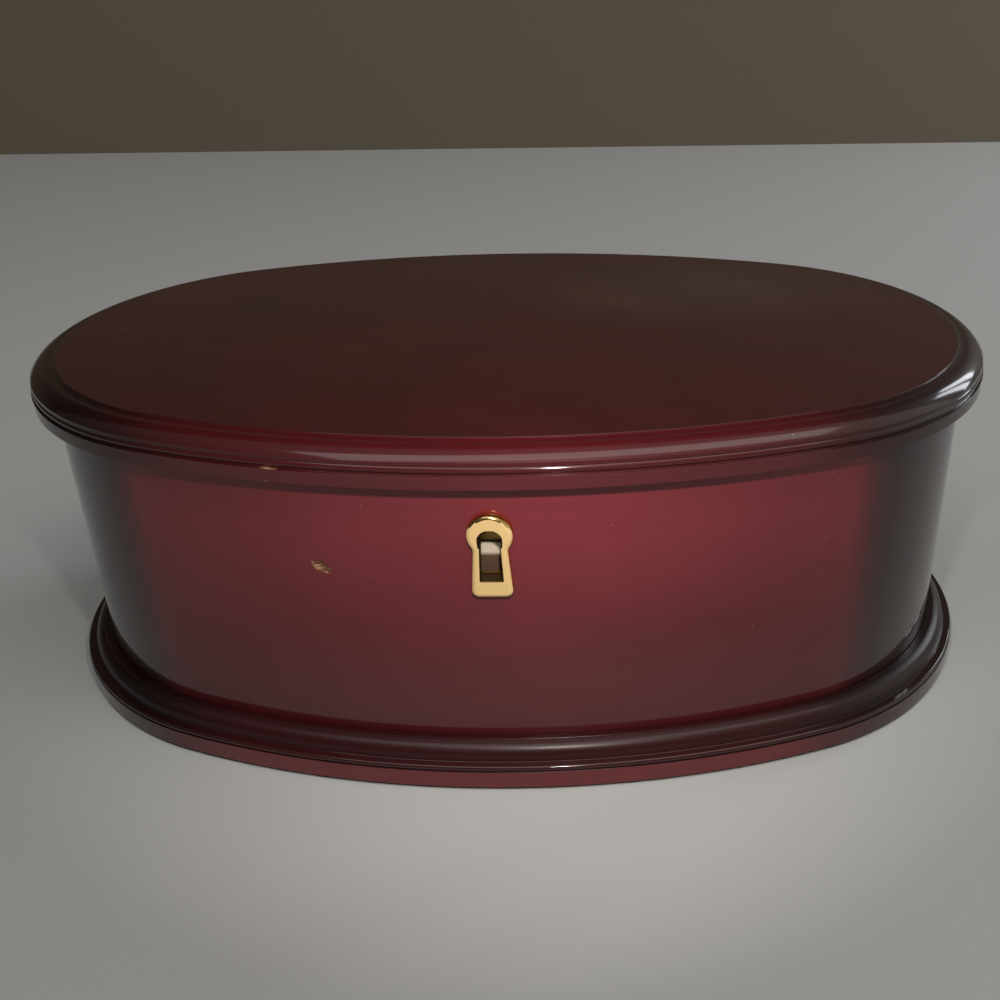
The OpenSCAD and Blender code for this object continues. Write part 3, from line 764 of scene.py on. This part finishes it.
def lacqueredCherry(name, streak, stains, gloss=lacquer["gloss"], coat=1.0, tone=None, withPaintedReflection=False):
    material, tree = newMaterial(name)
    place = addNode(tree, "ShaderNodeTexCoord").outputs["Object"]
    lengths = [1 / (size * mm) for size in streak]
    along = addNode(tree, "ShaderNodeMapping", {"Vector": place, "Scale": lengths})
    grain = addNode(tree, "ShaderNodeTexNoise",
                    {"Vector": along.outputs["Vector"], "Scale": 1.0, "Detail": 5.0, "Roughness": 0.6})
    clouds = addNode(tree, "ShaderNodeTexNoise",
                     {"Vector": place, "Scale": 1 / lacquer["cloud"], "Detail": 3.0, "Roughness": 0.5})
    figure = addNode(tree, "ShaderNodeMix",
                     {0: lacquer["cloudShare"], 2: grain.outputs["Fac"], 3: clouds.outputs["Fac"]})
    depth = figure.outputs[0]
    # Painted shade: the stain darkens round the ends and towards the foot, where less light falls
    if tone:
        axes = addNode(tree, "ShaderNodeSeparateXYZ", {"Vector": place})
        fromMiddle = addNode(tree, "ShaderNodeMath", {0: axes.outputs["X"]}, operation="ABSOLUTE")
        ends = addNode(tree, "ShaderNodeMapRange",
                       {"Value": fromMiddle.outputs[0], "From Min": tone[0],
                        "From Max": tone[1], "To Min": 1.0, "To Max": 0.0},
                       interpolation_type="SMOOTHSTEP")
        foot = addNode(tree, "ShaderNodeMapRange",
                       {"Value": axes.outputs["Z"], "From Min": lacquer["paintedShadeFoot"],
                        "From Max": lacquer["paintedShadeTop"], "To Min": lacquer["paintedFootShadeLevel"]})
        shaded = addNode(tree, "ShaderNodeMath",
                         {0: ends.outputs[0], 1: foot.outputs[0]}, operation="MULTIPLY")
        mixed = addNode(tree, "ShaderNodeMix", {0: lacquer["figureShare"], 2: shaded.outputs[0], 3: depth})
        depth = mixed.outputs[0]
    stain = addNode(tree, "ShaderNodeValToRGB", {"Fac": depth})
    setStops(stain, [(at, hexColour(code)) for at, code in stains])
    colour = stain.outputs["Color"]
    # Painted reflection: a pale grey-brown patch mixed into the stain, broken up by the clouds
    if withPaintedReflection:
        away = addNode(tree, "ShaderNodeVectorMath",
                       {0: place, 1: lacquer["paintedReflectionPlace"]}, operation="SUBTRACT")
        level = addNode(tree, "ShaderNodeVectorMath",
                        {0: away.outputs[0], 1: lacquer["paintedReflectionShape"]}, operation="MULTIPLY")
        far = addNode(tree, "ShaderNodeVectorMath", {0: level.outputs[0]}, operation="LENGTH")
        film = addNode(tree, "ShaderNodeMapRange",
                       {"Value": far.outputs["Value"], "From Max": lacquer["paintedReflectionReach"],
                        "To Min": lacquer["paintedReflectionStrength"], "To Max": 0.0},
                       interpolation_type="SMOOTHSTEP")
        paintedReflectionMask = addNode(tree, "ShaderNodeMath",
                         {0: film.outputs[0], 1: clouds.outputs["Fac"]}, operation="MULTIPLY")
        colour = addNode(tree, "ShaderNodeMix",
                         {"Factor": paintedReflectionMask.outputs[0], 6: colour, 7: hexColour(lacquer["hazeAndPaintedReflection"])},
                         data_type="RGBA").outputs[2]
    dust = addNode(tree, "ShaderNodeTexVoronoi", {"Vector": place, "Scale": 1 / lacquer["speckSpacing"]})
    chosen = addNode(tree, "ShaderNodeSeparateColor", {"Color": dust.outputs["Color"]})
    few = addNode(tree, "ShaderNodeMath",
                  {0: chosen.outputs[0], 1: lacquer["specklessShare"]}, operation="GREATER_THAN")
    speckMiddle, speckEdge = lacquer["speckSize"]
    dot = addNode(tree, "ShaderNodeMapRange",
                  {"Value": dust.outputs["Distance"], "From Min": speckMiddle, "From Max": speckEdge,
                   "To Min": lacquer["speckStrength"], "To Max": 0.0})
    specks = addNode(tree, "ShaderNodeMath", {0: few.outputs[0], 1: dot.outputs[0]}, operation="MULTIPLY")
    dusty = addNode(tree, "ShaderNodeMix",
                    {"Factor": specks.outputs[0], 6: colour, 7: hexColour(lacquer["speck"])},
                    data_type="RGBA")
    peel = addNode(tree, "ShaderNodeTexNoise",
                   {"Vector": place, "Scale": 1 / lacquer["peel"], "Detail": 2.0})
    bump = addNode(tree, "ShaderNodeBump",
                   {"Height": peel.outputs["Fac"], "Strength": 0.02, "Distance": lacquer["peelDepth"]})
    finishMaterial(tree, {
        "Base Color": dusty.outputs[2],
        "Roughness": 0.5,
        "Specular IOR Level": 0.15,
        "Coat Weight": coat,
        "Coat Roughness": gloss,
        "Coat IOR": 1.5,
        "Coat Normal": bump.outputs["Normal"],
    })
    return material


# Stains go from dark to bright; a streak's three numbers are its sizes in millimetres along X, Y and Z
# The boards are one cherry in lit and shaded copies: the panel, the mouldings and the lid's fascia have
# darker stains, painted shade where less light falls; the base's fascia has a lighter one, painted light
wallFinish = lacqueredCherry(
    "lacqueredCherryWall", streak=(60, 60, 2.4), tone=lacquer["wallPaintedEndShade"],
    stains=[(0.1, "#2a0c0f"), (0.45, "#4e181e"), (0.7, "#672028"), (0.9, "#852e37")])
panelPaintedShadeFinish = lacqueredCherry(
    "lacqueredCherryPanelPaintedShade", streak=(70, 3, 3), withPaintedReflection=True,
    stains=[(0.3, "#35090d"), (0.5, "#3e0b10"), (0.7, "#480e13")])
lidMouldingPaintedShadeFinish = lacqueredCherry(
    "lacqueredCherryLidMouldingPaintedShade", streak=(40, 40, 2), gloss=0.1, tone=lacquer["mouldingPaintedEndShade"],
    stains=[(0.1, "#1f0507"), (0.5, "#380a0e"), (0.9, "#4e1015")])
baseMouldingPaintedShadeFinish = lacqueredCherry(
    "lacqueredCherryBaseMouldingPaintedShade", streak=(40, 40, 2), gloss=0.3, coat=0.6, tone=lacquer["mouldingPaintedEndShade"],
    stains=[(0.1, "#180406"), (0.54, "#370a0f"), (0.7, "#400d12")])
lidFasciaPaintedShadeFinish = lacqueredCherry(
    "lacqueredCherryLidFasciaPaintedShade", streak=(60, 60, 2), tone=lacquer["mouldingPaintedEndShade"],
    stains=[(0.1, "#2a080b"), (0.5, "#431217"), (0.9, "#5b1f25")])
baseFasciaPaintedLightFinish = lacqueredCherry(
    "lacqueredCherryBaseFasciaPaintedLight", streak=(60, 60, 2), tone=lacquer["mouldingPaintedEndShade"],
    stains=[(0.1, "#330b10"), (0.54, "#742027"), (0.7, "#7e252c")])


# Raw cherry under the lacquer: dry torn fibres, pale brown and matt
rawCherry = {
    "fibre": (2.5, 2.5, 0.4),            # millimetres along X, Y and Z
    "shades": [(0.35, "#4a2417"), (0.5, "#8a5a3c"), (0.66, "#c4a084")],
}


def tornCherry():
    material, tree = newMaterial("tornCherry")
    place = addNode(tree, "ShaderNodeTexCoord").outputs["Object"]
    fibres = addNode(tree, "ShaderNodeMapping",
                     {"Vector": place, "Scale": [1 / (size * mm) for size in rawCherry["fibre"]]})
    tear = addNode(tree, "ShaderNodeTexNoise",
                   {"Vector": fibres.outputs["Vector"], "Scale": 1.0, "Detail": 3.0})
    shade = addNode(tree, "ShaderNodeValToRGB", {"Fac": tear.outputs["Fac"]})
    setStops(shade, [(at, hexColour(code)) for at, code in rawCherry["shades"]])
    finishMaterial(tree, {"Base Color": shade.outputs["Color"], "Roughness": 0.8})
    return material


# Cast brass: the plate's face is satin, a pale even yellow; its edge and the hinges are polished and darken
# where they mirror the wood; the lock is dull, its darker brass painted shade, and the keyhole's sides are
# painted shade in dark brown. The spring's rolled steel is the same surface in grey
metal = {"rubbed": 1.1 * mm, "rub": 0.04}     # size of the rubbed marks, and what they add to the roughness


def rubbedMetal(name, colour, rough, metallic):
    material, tree = newMaterial(name)
    place = addNode(tree, "ShaderNodeTexCoord").outputs["Object"]
    wear = addNode(tree, "ShaderNodeTexNoise",
                   {"Vector": place, "Scale": 1 / metal["rubbed"], "Detail": 3.0})
    rub = addNode(tree, "ShaderNodeMapRange",
                  {"Value": wear.outputs["Fac"], "To Min": rough - metal["rub"],
                   "To Max": rough + metal["rub"]})
    finishMaterial(tree, {"Base Color": hexColour(colour), "Metallic": metallic,
                          "Roughness": rub.outputs["Result"]})
    return material


faceFinish = rubbedMetal("satinBrass", "#ffda98", rough=0.4, metallic=0.2)
brassFinish = rubbedMetal("polishedBrass", "#e9c277", rough=0.18, metallic=1.0)
lockPaintedShadeFinish = rubbedMetal("dullBrassPaintedShade", "#a98a4c", rough=0.36, metallic=1.0)
keyholePaintedShadeFinish = rubbedMetal("keyholePaintedShadeBrass", "#4a3618", rough=0.5, metallic=0.7)
steelFinish = rubbedMetal("rolledSteel", "#e6e0d0", rough=0.34, metallic=0.5)


# The lever that the key lifts: bare steel with rust spots, painted light in pale cream along its top and
# painted shade in brown below, where it lies in shadow
lever = {
    "paintedLightAboveZ": 70.8 * mm,
    "paintedShadeBelowZ": 69.4 * mm,
    "spots": 0.9 * mm,
    "spotShare": 0.3,
    "paintedShadeBrown": "#6e5646",
    "paintedLightCream": "#fff0d8",
}


def leverPaintedLightSteel():
    material, tree = newMaterial("leverPaintedLightSteel")
    place = addNode(tree, "ShaderNodeTexCoord").outputs["Object"]
    height = addNode(tree, "ShaderNodeSeparateXYZ", {"Vector": place})
    spots = addNode(tree, "ShaderNodeTexNoise",
                    {"Vector": place, "Scale": 1 / lever["spots"], "Detail": 3.0})
    # Painted light on the lever's top and painted shade below it, chosen by height
    rubbed = addNode(tree, "ShaderNodeMapRange",
                     {"Value": height.outputs["Z"], "From Min": lever["paintedShadeBelowZ"],
                      "From Max": lever["paintedLightAboveZ"]})
    mottled = addNode(tree, "ShaderNodeMix",
                      {0: lever["spotShare"], 2: rubbed.outputs["Result"], 3: spots.outputs["Fac"]})
    shade = addNode(tree, "ShaderNodeValToRGB", {"Fac": mottled.outputs[0]})
    setStops(shade, [(0.2, hexColour(lever["paintedShadeBrown"])), (0.75, hexColour(lever["paintedLightCream"]))])
    finishMaterial(tree, {"Base Color": shade.outputs["Color"], "Metallic": 0.15, "Roughness": 0.45})
    return material


# Cotton velvet with a short cut pile: dark where it is looked into, pale along its edges and where brushed.
# The pile is drawn coarser than its real 0.2 mm so that it shows
velvet = {
    "pile": 0.7 * mm,
    "pileDepth": 0.3 * mm,
    "brushed": 22 * mm,
    "brushedShare": 0.45,
    "deep": "#3f0a18",
    "face": "#5e1024",
    "edge": "#c05068",
}


def cutVelvet():
    material, tree = newMaterial("cutVelvet")
    place = addNode(tree, "ShaderNodeTexCoord").outputs["Object"]
    pile = addNode(tree, "ShaderNodeTexNoise",
                   {"Vector": place, "Scale": 1 / velvet["pile"], "Detail": 2.0})
    brushed = addNode(tree, "ShaderNodeTexNoise",
                      {"Vector": place, "Scale": 1 / velvet["brushed"], "Detail": 3.0})
    tone = addNode(tree, "ShaderNodeMix",
                   {0: velvet["brushedShare"], 2: pile.outputs["Fac"], 3: brushed.outputs["Fac"]})
    shade = addNode(tree, "ShaderNodeValToRGB", {"Fac": tone.outputs[0]})
    setStops(shade, [(0.35, hexColour(velvet["deep"])), (0.65, hexColour(velvet["face"]))])
    bump = addNode(tree, "ShaderNodeBump",
                   {"Height": pile.outputs["Fac"], "Strength": 0.4, "Distance": velvet["pileDepth"]})
    finishMaterial(tree, {"Base Color": shade.outputs["Color"], "Roughness": 0.9, "Sheen Weight": 0.5,
                          "Sheen Roughness": 0.4, "Sheen Tint": hexColour(velvet["edge"]),
                          "Normal": bump.outputs["Normal"]})
    return material


velvetFinish = cutVelvet()


# Float glass silvered on the back: a clear, faintly green mirror with a little haze
glass = {"hazeAndPaintedReflection": 18 * mm, "mostHaze": 0.06, "tint": "#dfe8e4"}


def silveredGlass():
    material, tree = newMaterial("silveredGlass")
    place = addNode(tree, "ShaderNodeTexCoord").outputs["Object"]
    hazeAndPaintedReflection = addNode(tree, "ShaderNodeTexNoise", {"Vector": place, "Scale": 1 / glass["hazeAndPaintedReflection"], "Detail": 4.0})
    film = addNode(tree, "ShaderNodeMapRange",
                   {"Value": hazeAndPaintedReflection.outputs["Fac"], "To Min": 0.0, "To Max": glass["mostHaze"]})
    finishMaterial(tree, {"Base Color": hexColour(glass["tint"]), "Metallic": 1.0,
                          "Roughness": film.outputs["Result"]})
    return material


# Pressed wool felt: a soft dark mat of tangled fibres, drawn coarser than they are so that they show
felt = {"fibre": 1.4 * mm, "depth": 0.3 * mm, "dark": "#1c1113", "pale": "#35242a"}


def woolFelt():
    material, tree = newMaterial("woolFelt")
    place = addNode(tree, "ShaderNodeTexCoord").outputs["Object"]
    fibre = addNode(tree, "ShaderNodeTexNoise",
                    {"Vector": place, "Scale": 1 / felt["fibre"], "Detail": 4.0})
    shade = addNode(tree, "ShaderNodeValToRGB", {"Fac": fibre.outputs["Fac"]})
    setStops(shade, [(0.3, hexColour(felt["dark"])), (0.7, hexColour(felt["pale"]))])
    bump = addNode(tree, "ShaderNodeBump",
                   {"Height": fibre.outputs["Fac"], "Strength": 0.5, "Distance": felt["depth"]})
    finishMaterial(tree, {"Base Color": shade.outputs["Color"], "Roughness": 0.95,
                          "Normal": bump.outputs["Normal"]})
    return material


finishes = {"lid_mirror": silveredGlass(), "base_felt": woolFelt()}
finishes.update(dict.fromkeys(("wall_lining", "floor_card", "lid_lining"), velvetFinish))
finishes.update(dict.fromkeys(("lock_plate", "lock_cap", "lock_bolt", "lock_screws"), lockPaintedShadeFinish))
finishes.update({"bolt_spring": steelFinish, "lock_lever": leverPaintedLightSteel()})
for name, node in nodes.items():
    paint(node, finishes.get(name, brassFinish))

replaced = (
    (boxWall, "box_wall", "box", "lacquered_wood", wallFinish),
    (baseBoard, "base_board", "box", "lacquered_wood", baseMouldingPaintedShadeFinish),
    (lidBoard, "lid_board", "lid", "lacquered_wood", lidMouldingPaintedShadeFinish),
    (keyholePlate, "escutcheon", "box", "brass", brassFinish),
    (dividerLeft, "divider_left", "box", "velvet", velvetFinish),
    (dividerRight, "divider_right", "box", "velvet", velvetFinish),
    (padLeft, "pad_left", "box", "velvet", velvetFinish),
    (padRight, "pad_right", "box", "velvet", velvetFinish),
    (ringRolls, "ring_rolls", "box", "velvet", velvetFinish),
)
for piece, node, body, slot, finish in replaced:
    paint(piece, finish)
    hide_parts(node)
    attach(piece, body)


# Gives the faces that pass the test another finish
def paintFaces(piece, finish, test):
    piece.data.materials.append(finish)
    for face in piece.data.polygons:
        if test(face.center, face.normal):
            face.material_index = len(piece.data.materials) - 1


flat = 0.95              # a face whose normal passes this is level, or faces the front
chipReach = 4 * mm       # raw wood is looked for this near to a chip's middle
skin = 0.03 * mm         # how far behind a surface a face has to lie to count as cut into it


def insideFront(at, out):
    return math.hypot(at.x, at.y - sideY) < sideRadius + out - skin


def inChip(at, chip, out):
    return (at - chip["place"]).length < chipReach and insideFront(at, out)


# The plate's face, carried round its edge except along the top, which fingers keep bright
def onPlateFace(at, way):
    return way.y < -flat or (way.y < -plate["faceTurn"] and way.z < plate["topTurn"])


def inKeyhole(at, way):
    across, up = abs(at.x), at.z - keyhole["footZ"]
    high = keyhole["middleZ"] + keyhole["radius"] - keyhole["footZ"]
    return way.y > -flat and across < keyhole["radius"] + skin and -skin < up < high + skin


rawWood = tornCherry()
beadTop = base["beadMiddle"][1] + base["beadRadius"]     # the base's bead has the lid's gloss
paintFaces(lidBoard, panelPaintedShadeFinish, lambda at, way: way.z > flat and at.z > lid["panelTop"] - lid["softEdge"])
paintFaces(lidBoard, lidFasciaPaintedShadeFinish, lambda at, way: abs(way.z) < 1 - flat and at.z < lid["fasciaTop"])
paintFaces(lidBoard, rawWood, lambda at, way: inChip(at, lidChip, lid["over"]) and at.z > rimZ + skin)
paintFaces(baseBoard, baseFasciaPaintedLightFinish, lambda at, way: abs(way.z) < 1 - flat and at.z < base["fasciaTop"])
paintFaces(baseBoard, lidMouldingPaintedShadeFinish, lambda at, way: base["fasciaTop"] < at.z < beadTop)
paintFaces(boxWall, rawWood, lambda at, way: inChip(at, wallChip, 0))
paintFaces(keyholePlate, faceFinish, onPlateFace)
paintFaces(keyholePlate, keyholePaintedShadeFinish, inKeyhole)
print("finishes set")


# Pale floor and a soft brown-grey backdrop behind it
stage = {
    "size": 5.0,
    "floor": "#d6d8d7",
    "backY": 0.85,
    "middleZ": 1.0,
    "backLow": "#8f8373",
    "backHigh": "#3f3932",
    "fadeFrom": 0.4,
    "fadeTo": 0.95,
}


def addStage():
    bpy.ops.object.select_all(action="DESELECT")
    bpy.ops.mesh.primitive_plane_add(size=stage["size"], location=(0, 0, 0))
    floor = bpy.context.object
    floor.name = "studioFloor"
    material, tree = newMaterial("matteFloor")
    finishMaterial(tree, {"Base Color": hexColour(stage["floor"]), "Roughness": 0.9})
    paint(floor, material)
    upright = (math.pi / 2, 0, 0)
    bpy.ops.mesh.primitive_plane_add(size=stage["size"], location=(0, stage["backY"], stage["middleZ"]),
                                     rotation=upright)
    back = bpy.context.object
    back.name = "studioBackdrop"
    material, tree = newMaterial("matteBackdrop")
    place = addNode(tree, "ShaderNodeTexCoord").outputs["Object"]
    height = addNode(tree, "ShaderNodeSeparateXYZ", {"Vector": place})
    fade = addNode(tree, "ShaderNodeMapRange",
                   {"Value": height.outputs["Y"], "From Min": stage["fadeFrom"] - stage["middleZ"],
                    "From Max": stage["fadeTo"] - stage["middleZ"]})
    shade = addNode(tree, "ShaderNodeValToRGB", {"Fac": fade.outputs["Result"]})
    setStops(shade, [(0.0, hexColour(stage["backLow"])), (1.0, hexColour(stage["backHigh"]))])
    finishMaterial(tree, {"Base Color": shade.outputs["Color"], "Roughness": 0.9})
    paint(back, material)


# A small near lamp makes the crisp lines, a wide one overhead the soft lines, a window of two panes the
# gleams on the right end
lamps = {
    "nearLamp": {"place": (0.032, -0.25, 0.236), "size": (0.012, 0.012), "spread": 64, "power": 0.057,
                 "colour": "#fff8f0"},
    "overheadSoftbox": {"place": (0.1, -0.45, 1.25), "size": (1.6, 0.5), "spread": 180, "power": 4.0,
                        "colour": "#ffffff"},
    "windowLeft": {"place": (1.1, 0.6, 0.6), "size": (0.14, 0.5), "spread": 180, "power": 1.4,
                   "colour": "#f4f8ff"},
    "windowRight": {"place": (1.0, 0.78, 0.6), "size": (0.14, 0.5), "spread": 180, "power": 1.4,
                    "colour": "#f4f8ff"},
}
aim = Vector((0.01, -0.05, 0.07))
room = {
    "walls": [(0.0, "#3a3733"), (0.35, "#7c7a77"), (0.65, "#9c9a96"), (1.0, "#d6cbba")],     # left to right
    "dimFront": (-0.95, -0.2),       # the side behind the camera is dim; where it is dimmest, where it ends
    "dimLevel": 0.25,
}


def addLight():
    scene = bpy.context.scene
    world = bpy.data.worlds.new("softRoom")
    scene.world = world
    world.use_nodes = True
    tree = world.node_tree
    tree.nodes.clear()
    way = addNode(tree, "ShaderNodeTexCoord").outputs["Generated"]
    sideways = addNode(tree, "ShaderNodeSeparateXYZ", {"Vector": way})
    across = addNode(tree, "ShaderNodeMapRange",
                     {"Value": sideways.outputs["X"], "From Min": -1.0, "From Max": 1.0})
    walls = addNode(tree, "ShaderNodeValToRGB", {"Fac": across.outputs["Result"]})
    setStops(walls, [(at, hexColour(code)) for at, code in room["walls"]])
    dimmest, brightest = room["dimFront"]
    dim = addNode(tree, "ShaderNodeMapRange",
                  {"Value": sideways.outputs["Y"], "From Min": dimmest, "From Max": brightest,
                   "To Min": room["dimLevel"]})
    sky = addNode(tree, "ShaderNodeBackground",
                  {"Color": walls.outputs["Color"], "Strength": dim.outputs["Result"]})
    addNode(tree, "ShaderNodeOutputWorld", {"Surface": sky.outputs["Background"]})
    for name, lamp in lamps.items():
        bpy.ops.object.light_add(type="AREA", location=lamp["place"])
        light = bpy.context.object
        light.name = name
        light.data.shape = "RECTANGLE"
        light.data.size, light.data.size_y = lamp["size"]
        light.data.spread = math.radians(lamp["spread"])
        light.data.energy = lamp["power"]
        light.data.color = hexColour(lamp["colour"])[:3]
        light.rotation_euler = (aim - light.location).to_track_quat("-Z", "Y").to_euler()
        light.visible_camera = False
    scene.view_settings.view_transform = "Standard"


addStage()
addLight()
print("stage and light set")
